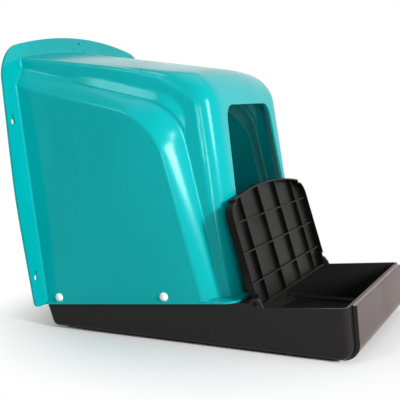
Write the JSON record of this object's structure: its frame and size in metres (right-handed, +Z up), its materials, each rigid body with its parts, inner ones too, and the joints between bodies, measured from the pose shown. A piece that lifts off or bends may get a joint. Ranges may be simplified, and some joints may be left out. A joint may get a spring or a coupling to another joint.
{
  "type": "nesting box",
  "caption": "Wall-hung roll-out nesting box: moulded hood with doorway and back flange, on a sloped tub that runs forward into an open tray with a hinged ribbed lid.",
  "frame": {"origin": "middle of the foot's underside, on the surface the box stands on", "axes": "+X across the width, -Y towards the doorway and tray, +Z up; the seam between hood and tub rises to the front by the floor's slope"},
  "size_m": [0.386, 0.4646, 0.3952],
  "materials": {
    "hood_plastic": "glossy injection-moulded, teal",
    "tub_plastic": "satin black, fine moulded grain",
    "front_plastic": "satin black-brown, fine moulded grain",
    "lid_plastic": "satin black, fine moulded grain",
    "mat_plastic": "matt dark plastic, assumed",
    "rivet_plastic": "white, smooth",
    "clip_plastic": "natural white, assumed"
  },
  "bodies": {
    "box": {"hood_shell": "hood_plastic", "base_tub": "tub_plastic", "tray_front_panel": "front_plastic", "nest_mat": "mat_plastic", "rivet_left_rear": "rivet_plastic", "rivet_left_front": "rivet_plastic", "rivet_right_rear": "rivet_plastic", "rivet_right_front": "rivet_plastic", "rivet_clip_left_rear": "clip_plastic", "rivet_clip_left_front": "clip_plastic", "rivet_clip_right_rear": "clip_plastic", "rivet_clip_right_front": "clip_plastic"},
    "lid": {"tray_lid": "lid_plastic"}
  },
  "joints": [
    {"name": "lid_hinge", "type": "hinge", "parent": "box", "child": "lid", "pos_m": [0, -0.08834, 0.06207], "axis": [1, 0, 0], "range_deg": [0, 101.93]}
  ]
}
